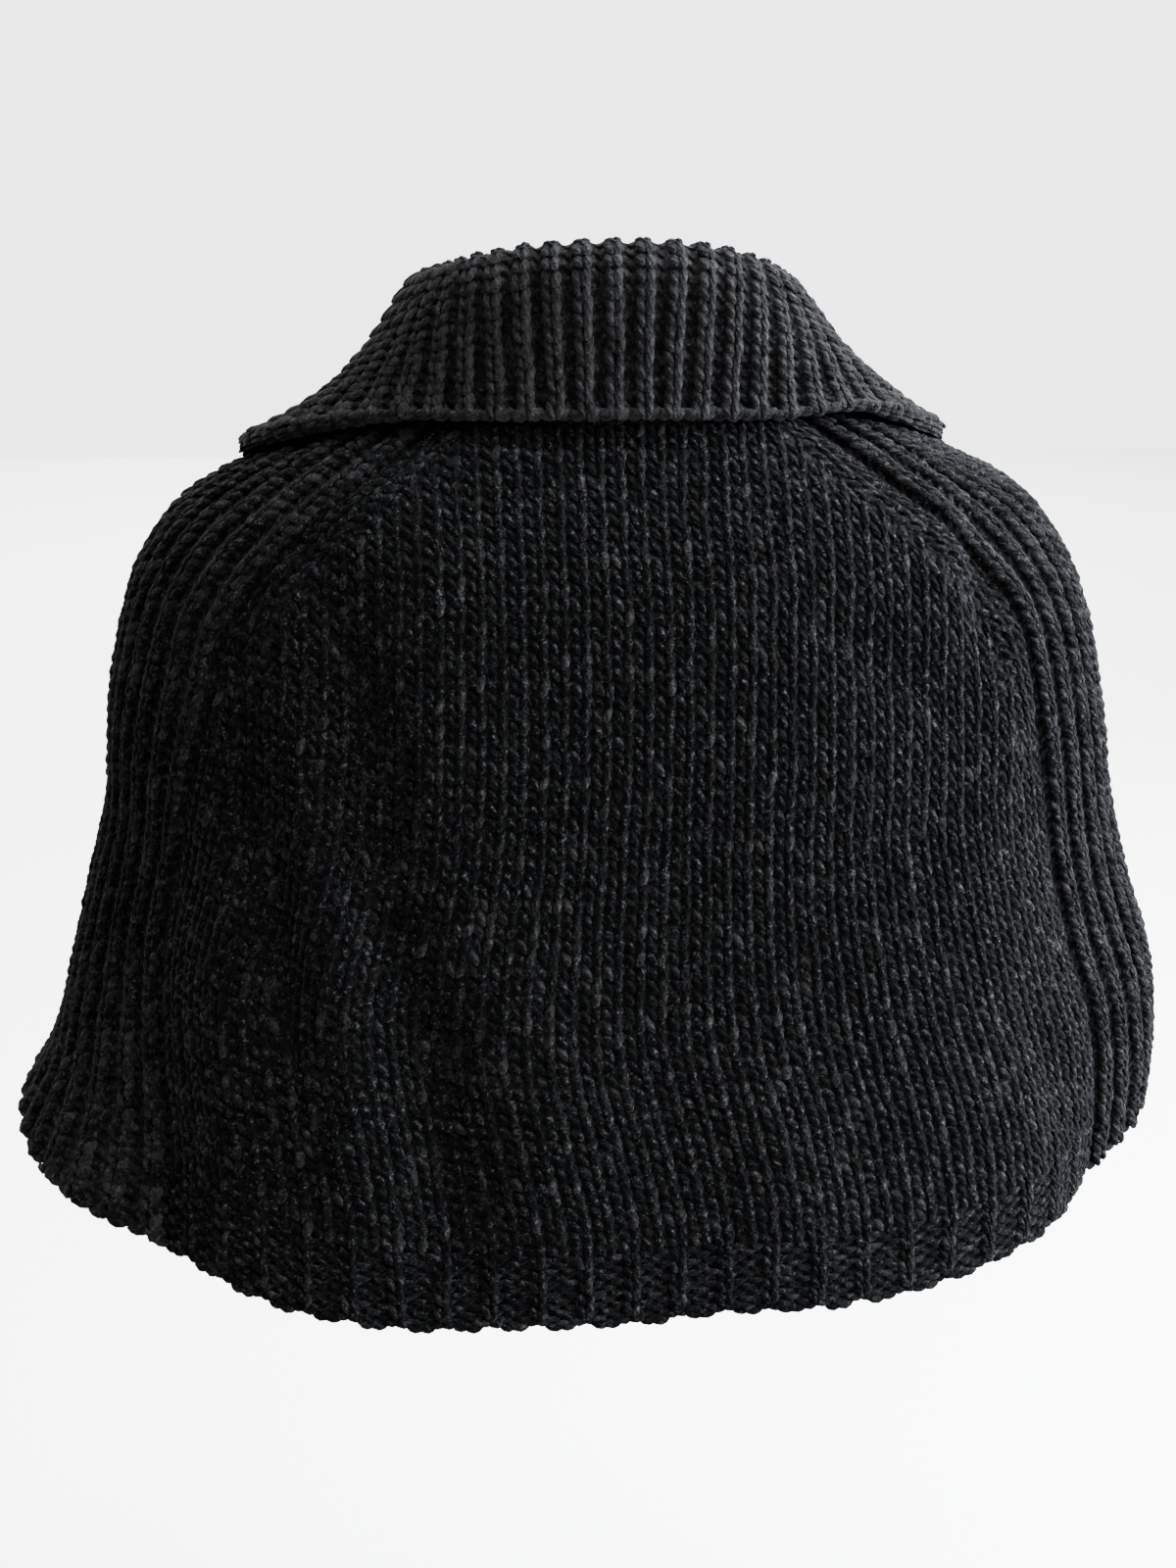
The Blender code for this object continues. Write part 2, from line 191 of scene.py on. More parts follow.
class Panel:
    """A panel of the body: turns a wale and a level into an angle round it. Lap is its reach over a seam."""

    def __init__(self, cut, lap=0.0):
        self.cut = cut
        self.levels = np.linspace(0, 1, PANEL_STEPS)
        first = seam_angle(self.levels, *cut["first"])
        last = seam_angle(self.levels, *cut["last"])
        last = np.where(last < first, last + 2 * np.pi, last)
        over = lap / np.linalg.norm(ring(BODY, self.levels, first)[:, :2], axis=1)
        shares = np.linspace(0, 1, ARC_STEPS)
        self.angles = (first - over)[:, None] + (last - first + 2 * over)[:, None] * shares
        points = ring(BODY, self.levels[:, None], self.angles)
        steps = np.linalg.norm(np.diff(points, axis=1), axis=2)
        self.along = np.concatenate([np.zeros((len(self.levels), 1)), np.cumsum(steps, axis=1)], axis=1)
        widths = self.along[:, -1]
        full = np.interp(cut["full_level"], self.levels, widths)
        ratio = np.minimum(1, widths / full)
        ratio[self.levels >= cut["full_level"]] = 1
        self.half_wales = cut["wales"] / 2 * ratio

    def share(self, level, wale):
        """The share of the width where a wale lies, and whether the seam spares it. The middle is wale 0."""
        half = self.cut["wales"] / 2
        here = np.interp(level, self.levels, self.half_wales)
        edge = self.cut["edge_wales"]
        far = np.abs(wale)
        inner = here - edge
        spared = (far <= inner) | (far >= half - edge)
        out = np.where(far >= half - edge, far - (half - here), np.minimum(far, inner))
        return 0.5 + np.sign(wale) * out / (2 * here), spared

    def stitch_places(self, wales):
        """The level and the wale of every stitch that is still there after the raglan decreases."""
        count = self.cut["rows"]
        levels, wales = np.meshgrid((np.arange(count) + 0.5) * (1 / count), wales, indexing="ij")
        levels, wales = levels.ravel(), wales.ravel().astype(float)
        kept = self.share(levels, wales)[1]
        return levels[kept], wales[kept]

    def turn_of(self, level, wale):
        """The angle where a wale crosses a level."""
        level, wale = np.broadcast_arrays(np.asarray(level, float), np.asarray(wale, float))
        return self.angle(level, self.share(level, wale)[0])

    def angle(self, level, share):
        """The angle round the body at a share of the panel's width."""
        level, share = np.broadcast_arrays(np.asarray(level, float), np.asarray(share, float))
        at = np.clip(level, 0, 1) * (len(self.levels) - 1)
        low = np.minimum(at.astype(int), len(self.levels) - 2)
        part = at - low
        found = np.zeros(level.shape)
        for row in np.unique(low):
            for offset, weight in ((0, 1 - part), (1, part)):
                here = low == row
                lengths = self.along[row + offset]
                angles = np.interp(share[here] * lengths[-1], lengths, self.angles[row + offset])
                found[here] += weight[here] * angles
        return found


def shell(name, outer, inner, closed, wales, rows):
    """A thin wall between two grids of points: rows run down, columns round, mapped by wale and row."""
    count, columns = outer.shape[:2]
    half = count * columns
    r, c = np.meshgrid(np.arange(count - 1), np.arange(columns if closed else columns - 1), indexing="ij")
    quad = np.stack([r + 1, c, r + 1, c + 1, r, c + 1, r, c], -1).reshape(-1, 4, 2)
    span = np.arange(columns if closed else columns - 1)
    top, foot = np.zeros_like(span), np.full_like(span, count - 1)
    edges = [np.stack([top, span + 1, top, span], -1), np.stack([foot, span, foot, span + 1], -1)]
    if not closed:
        step = np.arange(count - 1)
        low, high = np.zeros_like(step), np.full_like(step, columns - 1)
        edges.append(np.stack([step, low, step + 1, low], -1))
        edges.append(np.stack([step + 1, high, step, high], -1))
    edge = np.concatenate(edges).reshape(-1, 2, 2)
    corners = np.concatenate([quad, quad[:, ::-1], np.concatenate([edge, edge[:, ::-1]], 1)])
    inside = np.zeros(corners.shape[:2], int)
    inside[len(quad) : 2 * len(quad)] = half
    inside[2 * len(quad) :, 2:] = half
    faces = corners[..., 0] * columns + corners[..., 1] % columns + inside
    points = np.concatenate([outer.reshape(-1, 3), inner.reshape(-1, 3)])
    mesh = bpy.data.meshes.new(name)
    mesh.from_pydata(points.tolist(), [], faces.tolist())
    mesh.shade_smooth()
    step = wales[1] - wales[0]
    places = np.stack([wales[0] + step * corners[..., 1], np.asarray(rows)[corners[..., 0]]], -1)
    mesh.uv_layers.new(name="knit").data.foreach_set("uv", places.astype(np.float32).ravel())
    piece = bpy.data.objects.new(name, mesh)
    bpy.context.scene.collection.objects.link(piece)
    return piece


# A stitch is made of short plump lengths of yarn. These are their sizes: length, width, height above the
# cloth, how far the middle bows sideways, and how the height falls from the foot to the head.
YARN_COLUMNS = ("name", "length", "width", "height", "bow", "tuck")
YARN_LENGTHS = (
    ("leg_left", 0.0094, 0.0042, 0.0025, 0.0004, 0.0008),
    ("leg_right", 0.0096, 0.0048, 0.0028, -0.0004, 0.0009),
    ("purl", 0.0080, 0.0036, 0.0022, -0.0010, 0.0),
)
# Along a length, as shares of it: how far along, how wide, and how high. Then the degrees round its upper
# half, and how much of its height is that round.
YARN_STATIONS = (
    (0.00, 0.30, -0.30),
    (0.22, 0.85, 0.70),
    (0.50, 1.00, 1.00),
    (0.80, 0.85, 0.85),
    (1.00, 0.35, -0.05),
)
YARN_ROUND = (185, 125, 55, -5)
ROUND_SHARE = 0.55


def yarn_length(name, length, width, height, bow, tuck):
    """One short length of yarn, lying on the cloth with its ends tucked in."""
    round_half = np.radians(YARN_ROUND)
    sides = len(round_half)
    points = []
    for along, wide, high in YARN_STATIONS:
        middle = (bow * np.sin(np.pi * along), (along - 0.5) * length, tuck * (along - 0.5))
        for turn in round_half:
            rise = np.sin(turn) * height * ROUND_SHARE + high * height * (1 - ROUND_SHARE)
            points.append((middle[0] + np.cos(turn) * width / 2 * wide, middle[1], middle[2] + rise))
    faces = []
    for station in range(len(YARN_STATIONS) - 1):
        for side in range(sides - 1):
            a = station * sides + side
            faces.append((a + sides, a + sides + 1, a + 1, a))
    mesh = bpy.data.meshes.new(name)
    mesh.from_pydata(points, [], faces)
    mesh.shade_smooth()
    uv = mesh.uv_layers.new(name="yarn")
    for loop in mesh.loops:
        station, side = divmod(loop.vertex_index, sides)
        uv.data[loop.index].uv = (YARN_STATIONS[station][0], side / (sides - 1))
    return bpy.data.objects.new(name, mesh)


YARN_PIECES = bpy.data.collections.new("yarn lengths")
for yarn_row in YARN_LENGTHS:
    YARN_PIECES.objects.link(yarn_length(**dict(zip(YARN_COLUMNS, yarn_row))))


def stitching_tree():
    """Sets a length of yarn at every point, turned and sized by the point, each a little different."""
    tree = bpy.data.node_groups.new("stitches", "GeometryNodeTree")
    face = tree.interface
    face.new_socket("Points", in_out="INPUT", socket_type="NodeSocketGeometry")
    face.new_socket("Yarn", in_out="INPUT", socket_type="NodeSocketCollection")
    face.new_socket("Turn unevenness", in_out="INPUT", socket_type="NodeSocketFloat")
    face.new_socket("Size unevenness", in_out="INPUT", socket_type="NodeSocketFloat")
    face.new_socket("Seed", in_out="INPUT", socket_type="NodeSocketInt")
    face.new_socket("Wool", in_out="INPUT", socket_type="NodeSocketMaterial")
    face.new_socket("Stitches", in_out="OUTPUT", socket_type="NodeSocketGeometry")
    nodes, links = tree.nodes, tree.links
    given = nodes.new("NodeGroupInput")
    result = nodes.new("NodeGroupOutput")
    yarn = nodes.new("GeometryNodeCollectionInfo")
    yarn.inputs["Separate Children"].default_value = True
    yarn.inputs["Reset Children"].default_value = True
    place = nodes.new("GeometryNodeInstanceOnPoints")
    place.inputs["Pick Instance"].default_value = True
    kind = nodes.new("GeometryNodeInputNamedAttribute")
    kind.data_type = "INT"
    kind.inputs["Name"].default_value = "kind"
    turn = nodes.new("GeometryNodeInputNamedAttribute")
    turn.data_type = "FLOAT_VECTOR"
    turn.inputs["Name"].default_value = "turn"
    size = nodes.new("GeometryNodeInputNamedAttribute")
    size.data_type = "FLOAT_VECTOR"
    size.inputs["Name"].default_value = "size"
    euler = nodes.new("FunctionNodeEulerToRotation")
    wobble = nodes.new("FunctionNodeRandomValue")
    wobble.data_type = "FLOAT_VECTOR"
    lowest = nodes.new("ShaderNodeMath")
    lowest.operation = "MULTIPLY"
    lowest.inputs[1].default_value = -1
    wobble_turn = nodes.new("FunctionNodeEulerToRotation")
    rotate = nodes.new("FunctionNodeRotateRotation")
    rotate.rotation_space = "LOCAL"
    least = nodes.new("ShaderNodeMath")
    least.operation = "SUBTRACT"
    least.inputs[0].default_value = 1
    most = nodes.new("ShaderNodeMath")
    most.operation = "ADD"
    most.inputs[0].default_value = 1
    vary = nodes.new("FunctionNodeRandomValue")
    vary.data_type = "FLOAT_VECTOR"
    scale = nodes.new("ShaderNodeVectorMath")
    scale.operation = "MULTIPLY"
    realize = nodes.new("GeometryNodeRealizeInstances")
    wool = nodes.new("GeometryNodeSetMaterial")
    links.new(given.outputs["Points"], place.inputs["Points"])
    links.new(given.outputs["Yarn"], yarn.inputs["Collection"])
    links.new(yarn.outputs[0], place.inputs["Instance"])
    links.new(kind.outputs["Attribute"], place.inputs["Instance Index"])
    links.new(turn.outputs["Attribute"], euler.inputs[0])
    links.new(given.outputs["Turn unevenness"], lowest.inputs[0])
    links.new(lowest.outputs[0], wobble.inputs["Min"])
    links.new(given.outputs["Turn unevenness"], wobble.inputs["Max"])
    links.new(given.outputs["Seed"], wobble.inputs["Seed"])
    links.new(wobble.outputs[0], wobble_turn.inputs[0])
    links.new(euler.outputs[0], rotate.inputs[0])
    links.new(wobble_turn.outputs[0], rotate.inputs[1])
    links.new(rotate.outputs[0], place.inputs["Rotation"])
    links.new(given.outputs["Size unevenness"], least.inputs[1])
    links.new(given.outputs["Size unevenness"], most.inputs[1])
    links.new(least.outputs[0], vary.inputs["Min"])
    links.new(most.outputs[0], vary.inputs["Max"])
    links.new(given.outputs["Seed"], vary.inputs["Seed"])
    links.new(size.outputs["Attribute"], scale.inputs[0])
    links.new(vary.outputs[0], scale.inputs[1])
    links.new(scale.outputs[0], place.inputs["Scale"])
    links.new(place.outputs["Instances"], realize.inputs[0])
    links.new(realize.outputs[0], wool.inputs["Geometry"])
    links.new(given.outputs["Wool"], wool.inputs["Material"])
    links.new(wool.outputs[0], result.inputs[0])
    return tree


STITCHES = stitching_tree()


def turns_of(across, along, out):
    """The Euler turns that lay a piece's X, Y and Z along three directions."""
    return np.stack([
        np.arctan2(along[..., 2], out[..., 2]),
        np.arcsin(np.clip(-across[..., 2], -1, 1)),
        np.arctan2(across[..., 1], across[..., 0]),
    ], axis=-1)


TURN_UNEVENNESS = 0.08
SIZE_UNEVENNESS = 0.09


def knit(name, points, turns, sizes, kinds, shades, wool, seed):
    """All the stitches of one piece, as one mesh."""
    mesh = bpy.data.meshes.new(name)
    mesh.from_pydata(points.tolist(), [], [])
    # The shade layer carries each length's random tone together with the painted light and painted shade laid
    # on its piece.
    layers = (
        ("turn", "FLOAT_VECTOR", "vector", turns.astype(np.float32)),
        ("size", "FLOAT_VECTOR", "vector", sizes.astype(np.float32)),
        ("kind", "INT", "value", kinds.astype(np.int32)),
        ("shade", "FLOAT", "value", shades.astype(np.float32)),
    )
    for layer, form, field, numbers in layers:
        mesh.attributes.new(layer, form, "POINT").data.foreach_set(field, numbers.ravel())
    seeds = bpy.data.objects.new(name + " points", mesh)
    bpy.context.scene.collection.objects.link(seeds)
    modifier = seeds.modifiers.new("stitches", "NODES")
    modifier.node_group = STITCHES
    values = {"Yarn": YARN_PIECES, "Turn unevenness": TURN_UNEVENNESS, "Size unevenness": SIZE_UNEVENNESS,
              "Seed": seed, "Wool": wool}
    for socket in STITCHES.interface.items_tree:
        if socket.in_out == "INPUT" and socket.name in values:
            modifier[socket.identifier] = values[socket.name]
    graph = bpy.context.evaluated_depsgraph_get()
    made = bpy.data.meshes.new_from_object(seeds.evaluated_get(graph), depsgraph=graph)
    bpy.data.objects.remove(seeds)
    made.name = name
    piece = bpy.data.objects.new(name, made)
    bpy.context.scene.collection.objects.link(piece)
    return piece


# The wool: how its surface takes the light, its three greys, and three sizes of unevenness in it. Each of
# those sizes has its scale, its detail and its share of the shade.
WOOL_FINISH = {
    "Roughness": 0.92,
    "Specular IOR Level": 0.012,
    "Sheen Weight": 0.014,
    "Sheen Roughness": 0.45,
    "Sheen Tint": (0.50, 0.56, 0.68, 1),
}
WOOL_DARK = (0.0003, 0.0003, 0.0003)
WOOL_MID = (0.0060, 0.0059, 0.0060)
WOOL_FLECK = (0.012, 0.012, 0.013)
FIBRE = (900.0, 2.0, 0.60)
STREAK = (330.0, 3.0, 0.60)
CLOUD = (16.0, 2.0, 0.12)
GREY_SPAN = (0.56, 0.98)
FLECK_SPAN = (0.555, 0.70)
# The small relief in the wool: its depth and strength, the twist of the plies along a length of yarn, and the
# purl bumps on the cloth's inside, whose rows bend at each wale.
RELIEF, RELIEF_STRENGTH = 0.0007, 0.9
TWIST = {"Scale": 1.15, "Distortion": 1.2, "Detail": 1}
TWIST_RELIEF, FIBRE_RELIEF = 0.6, 1.7
ROW_BEND, BUMP_RELIEF = 0.22, 1.6


def wool_material(name, plies):
    """Charcoal melange wool, matt and dry: near-black and grey fibres spun with a few pale ones."""
    material = bpy.data.materials.new(name)
    material.use_nodes = True
    nodes, links = material.node_tree.nodes, material.node_tree.links
    shader = nodes["Principled BSDF"]
    for socket, value in WOOL_FINISH.items():
        shader.inputs[socket].default_value = value
    place = nodes.new("ShaderNodeTexCoord")
    shade = nodes.new("ShaderNodeAttribute")
    shade.attribute_name = "shade"

    def noise(scale, detail, vector):
        texture = nodes.new("ShaderNodeTexNoise")
        texture.inputs["Scale"].default_value = scale
        texture.inputs["Detail"].default_value = detail
        links.new(vector, texture.inputs["Vector"])
        return texture.outputs[0]

    def mathed(operation, first, second, third=0.0):
        step = nodes.new("ShaderNodeMath")
        step.operation = operation
        for socket, value in zip(step.inputs, (first, second, third)):
            if isinstance(value, float):
                socket.default_value = value
            else:
                links.new(value, socket)
        return step.outputs[0]

    def ramped(value, low, high, first, last):
        ramp = nodes.new("ShaderNodeValToRGB")
        ramp.color_ramp.elements[0].position = low
        ramp.color_ramp.elements[0].color = (*first, 1)
        ramp.color_ramp.elements[1].position = high
        ramp.color_ramp.elements[1].color = (*last, 1)
        links.new(value, ramp.inputs[0])
        return ramp.outputs[0]

    # Each length's own shade holds its random scatter and pale yarns together with the painted light and
    # painted shade laid on its piece; the three grains add to it.
    depth = shade.outputs["Fac"]
    grains = []
    for scale, detail, part in (FIBRE, STREAK, CLOUD):
        grains.append(noise(scale, detail, place.outputs["Object"]))
        depth = mathed("MULTIPLY_ADD", grains[-1], part, depth)
    fibre, streak, _ = grains
    grey = ramped(depth, *GREY_SPAN, WOOL_DARK, WOOL_MID)
    flecks = mathed("MULTIPLY_ADD", streak, 0.5, mathed("MULTIPLY", fibre, 0.5))
    pale = ramped(flecks, *FLECK_SPAN, (0, 0, 0), (1, 1, 1))
    mix = nodes.new("ShaderNodeMix")
    mix.data_type = "RGBA"
    mix.inputs["B"].default_value = (*WOOL_FLECK, 1)
    links.new(pale, mix.inputs[0])
    links.new(grey, mix.inputs["A"])
    links.new(mix.outputs["Result"], shader.inputs["Base Color"])
    bump = nodes.new("ShaderNodeBump")
    bump.inputs["Distance"].default_value = RELIEF
    bump.inputs["Strength"].default_value = RELIEF_STRENGTH
    uv = nodes.new("ShaderNodeUVMap")
    uv.uv_map = "yarn" if plies else "knit"
    if not plies:
        split = nodes.new("ShaderNodeSeparateXYZ")
        links.new(uv.outputs[0], split.inputs[0])
        sway = mathed("SINE", mathed("MULTIPLY", split.outputs[0], 2 * np.pi), 0.0)
        row_at = mathed("MULTIPLY_ADD", sway, ROW_BEND, split.outputs[1])
        loops = mathed("SINE", mathed("MULTIPLY", row_at, 2 * np.pi), 0.0)
        height = mathed("MULTIPLY_ADD", loops, BUMP_RELIEF, fibre)
    else:
        twist = nodes.new("ShaderNodeTexWave")
        twist.bands_direction = "DIAGONAL"
        for socket, value in TWIST.items():
            twist.inputs[socket].default_value = value
        links.new(uv.outputs[0], twist.inputs["Vector"])
        fuzz = mathed("MULTIPLY", fibre, FIBRE_RELIEF)
        height = mathed("MULTIPLY_ADD", twist.outputs[1], TWIST_RELIEF, fuzz)
    links.new(height, bump.inputs["Height"])
    links.new(bump.outputs[0], shader.inputs["Normal"])
    return material


WOOL = wool_material("charcoal wool yarn", True)
WOOL_UNDER = wool_material("charcoal wool cloth", False)

# The kinds of length, in the order of their table, and the slant of one that lies across its wale.
LEG_LEFT, LEG_RIGHT, PURL = 0, 1, 2
ACROSS = np.pi / 2
# How far the cloth's two faces lie from its middle, and the groove beside a seam.
OUTER = 0.0010
INNER = 0.0018
SEAM_GROOVE = 0.0030
SEAM_WIDTH = 0.5
LEVEL_STEP, WALE_STEP = 0.004, 0.25
# How uneven hand knitting is: slow waves over the wales and levels, and a small scatter of each length.
DRIFT_WAVES = ((0.9, 11), (0.37, -23), (1.7, 41), (0.61, 67))
ROW_DRIFT = 0.07
WALE_DRIFT = 0.08
PLACE_SCATTER = 0.0002
SHADE_SCATTER = 0.06
PALE_YARNS = 0.07
PALE_LIFT = 0.16
# A leg's foot tilts out. Where the cloth bends or turns a corner, lengths lie flatter, lower and shorter, and
# everywhere they fit the cloth's own wales and rows.
LEG_TILT = 0.10
BEND_FLATTER = 2
BEND_SINK = 0.0012
BEND_SHORTER = 0.35
CORNER_REACH = 0.7
CORNER_SHORTER = 0.5
FIT_RANGE = (0.7, 1.45)


def uneven(level, wale, seed):
    """A slow drift between -1 and 1, so that no row or wale is quite straight."""
    starts = np.random.default_rng(seed).uniform(0, 2 * np.pi, len(DRIFT_WAVES))
    waves = (np.sin(by_wale * wale + by_level * level + start)
             for (by_wale, by_level), start in zip(DRIFT_WAVES, starts))
    return sum(waves) / len(DRIFT_WAVES)


def cloth_frame(table, turn_of, level, wale):
    """Points on the cloth with their ways across, down and out, and how far wales and levels lie apart."""
    angle = turn_of(level, wale)
    points = ring(table, level, angle)
    out = outward(table, level, angle)
    above, below = np.clip(level - LEVEL_STEP, 0, 1), np.clip(level + LEVEL_STEP, 0, 1)
    run = ring(table, below, turn_of(below, wale)) - ring(table, above, turn_of(above, wale))
    left, right = turn_of(level, wale + WALE_STEP), turn_of(level, wale - WALE_STEP)
    beside = ring(table, level, left) - ring(table, level, right)
    along_row = unit(beside - out * (beside * out).sum(-1, keepdims=True))
    down = unit(run - out * (run * out).sum(-1, keepdims=True))
    wide = np.linalg.norm(beside, axis=-1) / (2 * WALE_STEP)
    long = np.linalg.norm(run, axis=-1) / (below - above)
    return points, along_row, down, out, wide, long


class Stitches:
    """The lengths of yarn of one piece, gathered before they are knitted into one mesh."""

    # The piece's offset of tone is painted light where it is above 0, lightening every length, and painted
    # shade where it is below 0.
    def __init__(self, table, turn_of, gauge, seed, seam_wale=np.inf, painted_light_offset=0.0):
        self.table, self.turn_of, self.gauge, self.seed = table, turn_of, gauge, seed
        self.dice = np.random.default_rng(seed)
        self.seam_wale = seam_wale
        self.painted_light_offset = painted_light_offset
        self.found = []

    def groove(self, wale):
        """How far the cloth sinks beside the seams at its edges, if it has any."""
        return SEAM_GROOVE * np.exp(-(((self.seam_wale - np.abs(wale)) / SEAM_WIDTH) ** 2))

    def lay(self, kind, level, wale, row, slant, tilt=LEG_TILT, roll=0.0, height=0.0, stretch=(1, 1, 1),
            shade=0.0):
        """Lays one length at each level and wale: it slants across the wale, and its foot tilts out."""
        level = np.clip(level + ROW_DRIFT * row * uneven(level, wale, self.seed), 0, 1)
        wale = wale + WALE_DRIFT * uneven(level, wale, self.seed + 1)
        points, along_row, down, out, wide, long = cloth_frame(self.table, self.turn_of, level, wale)
        upper = outward(self.table, np.clip(level - row / 2, 0, 1), self.turn_of(level, wale))
        lower = outward(self.table, np.clip(level + row / 2, 0, 1), self.turn_of(level, wale))
        bend = np.clip(np.linalg.norm(lower - upper, axis=-1), 0, 1)
        tilt = tilt * np.clip(1 - BEND_FLATTER * bend, 0, 1)
        before = outward(self.table, level, self.turn_of(level, wale - CORNER_REACH))
        after = outward(self.table, level, self.turn_of(level, wale + CORNER_REACH))
        corner = np.clip(np.linalg.norm(after - before, axis=-1), 0, 1)
        across = along_row if kind == PURL else unit(np.cross(down, out))
        down = np.cross(out, across)
        rolled = np.cos(roll) * out + np.sin(roll) * across
        flat = np.cos(roll) * across - np.sin(roll) * out
        way = np.cos(slant) * down + np.sin(slant) * flat
        way = np.cos(tilt)[:, None] * way + np.sin(tilt)[:, None] * rolled
        side = unit(np.cross(way, rolled))
        up = np.cross(side, way)
        height = np.broadcast_to(height, level.shape)[:, None] - BEND_SINK * bend[:, None]
        height = height - self.groove(wale)[:, None]
        places = points + out * height + self.dice.normal(0, PLACE_SCATTER, points.shape)
        fit_wide = np.clip(wide / self.gauge[0], *FIT_RANGE)
        fit_long = np.clip(long * row / self.gauge[1], *FIT_RANGE) * (1 - BEND_SHORTER * bend)
        if kind == PURL:
            fit_wide, fit_long = fit_long, fit_wide * (1 - CORNER_SHORTER * corner)
        sizes = np.stack([fit_wide, fit_long, np.ones_like(fit_wide)], -1) * np.array(stretch)
        kinds = np.full(level.shape, kind)
        # Each length's tone: the piece's offset of painted light (painted shade where it is below 0), any
        # painted shade given to this kind of length, a random scatter, and a few pale yarns.
        shades = self.painted_light_offset + shade + self.dice.normal(0, SHADE_SCATTER, level.shape)
        shades = shades + PALE_LIFT * (self.dice.random(level.shape) < PALE_YARNS)
        self.found.append((places, turns_of(side, way, up), sizes, kinds, shades))

    def knit(self, name, wool):
        """One mesh of all that has been laid."""
        return knit(name, *(np.concatenate(part) for part in zip(*self.found)), wool, self.seed)


def finish_cloth(cloth, stitches, node):
    """The cloth stands for the solid and the stitches lie on it: both hang from the root, and the solid's own
    part is hidden.
    """
    for piece in (cloth, stitches):
        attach(piece, "root")
    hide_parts(node)


# Stockinette: its gauge (wale and row), and the two legs of its stitch, each with its place beside the
# middle of the wale and its slant. In the hem band and the ribs a leg also rolls outwards, and each purl of
# the band has its rise up the row and its place beside the middle.
PLAIN_GAUGE = (0.0104, 0.0059)
BAND_ROWS = 6
PLAIN_LEGS = ((LEG_LEFT, 0.24, -0.44), (LEG_RIGHT, -0.24, 0.21))
PLAIN_TILT = 0.12
BAND_LEGS = ((LEG_LEFT, 0.14, -0.45, 0.2), (LEG_RIGHT, -0.18, 0.25, -0.2))
BAND_LEG = dict(height=0.0006, stretch=(0.85, 1, 1))
BAND_PURLS = ((-0.25, -0.42), (-0.25, 0.42), (0.25, 0.0), (0.25, 0.8))
BAND_PURL = dict(tilt=0, height=0.0004, stretch=(0.9, 0.95, 1.0))
LEG_OVER_EDGE, PURL_OVER_EDGE = 0.62, 0.3
SEAM_YARN = dict(slant=ACROSS - 0.3, tilt=0, height=-0.0004, stretch=(1.0, 0.75, 0.9))
HEM_YARN = dict(slant=ACROSS - 0.05, tilt=0, stretch=(1.2, 1.15, 1.1))
HEM_EDGE = 0.9985
HEM_NOTCH = 0.0034
HEM_SCALLOP = 0.5
# Painted shade: every length on the back and front panels is darkened, standing for the weaker light on their
# upright faces.
PLAIN_PAINTED_SHADE = -0.09
RAISED_WALE = 1.5
PLAIN_DIVISIONS = 2


def band_ridge(wale):
    """1 on the hem band's raised wales and 0 on the sunk ones between them."""
    return 0.5 + 0.5 * np.cos(np.pi * (wale - RAISED_WALE))


def hem_level(wale, row):
    """Where the hem's edge runs: the purl wales hang a little lower than the ridges between them."""
    return HEM_EDGE - HEM_SCALLOP * row * band_ridge(wale)


def plain_panel(node, cut, seed):
    """Stockinette with a one-by-one rib hem: the cloth, and the stitches on it, darkened by painted shade."""
    panel = Panel(cut)
    half = cut["wales"] // 2
    row = 1 / cut["rows"]
    stitches = Stitches(BODY, panel.turn_of, PLAIN_GAUGE, seed, half, PLAIN_PAINTED_SHADE)
    rows, wales = panel.stitch_places(np.arange(-half, half) + 0.5)
    band = rows > 1 - BAND_ROWS * row
    ridge = np.round(wales - 0.5) % 2 == 1
    plain = ~band
    for leg, aside, slant in PLAIN_LEGS:
        stitches.lay(leg, rows[plain], wales[plain] + aside, row, slant, tilt=PLAIN_TILT)
    raised = band & ridge
    lowest = np.minimum(rows[raised], hem_level(wales[raised], row) - LEG_OVER_EDGE * row)
    for leg, aside, slant, roll in BAND_LEGS:
        stitches.lay(leg, lowest, wales[raised] + aside, row, slant, roll=roll, **BAND_LEG)
    sunk = band & ~ridge
    for rise, aside in BAND_PURLS:
        places = wales[sunk] + aside
        lowest = np.minimum(rows[sunk] + rise * row, hem_level(places, row) - PURL_OVER_EDGE * row)
        stitches.lay(PURL, lowest, places, row, ACROSS, **BAND_PURL)
    for side in (-half, half):
        run = np.arange(cut["rows"]) + 0.5
        stitches.lay(PURL, run * row, np.full(run.shape, float(side)), row, **SEAM_YARN)
    edge = np.arange(-half, half, 0.5) + 0.25
    stitches.lay(PURL, hem_level(edge, row), edge, row, **HEM_YARN)
    columns, steps = np.linspace(-half, half, PLAIN_DIVISIONS * cut["wales"] + 1), np.arange(cut["rows"] + 1)
    levels, lines = np.meshgrid(steps * row, columns, indexing="ij")
    points, _, down, out, _, _ = cloth_frame(BODY, panel.turn_of, levels, lines)
    points = points - down * (HEM_NOTCH * band_ridge(lines) * (levels > 1 - 0.5 * row))[..., None]
    outer = points + out * (OUTER - stitches.groove(lines))[..., None]
    cloth = shell(node + "_cloth", outer, points - out * INNER, False, columns, steps)
    cloth.data.materials.append(WOOL_UNDER)
    finish_cloth(cloth, stitches.knit(node + "_stitches", WOOL), node)


plain_panel("back_panel", BACK_CUT, seed=11)
plain_panel("front_panel", FRONT_CUT, seed=12)


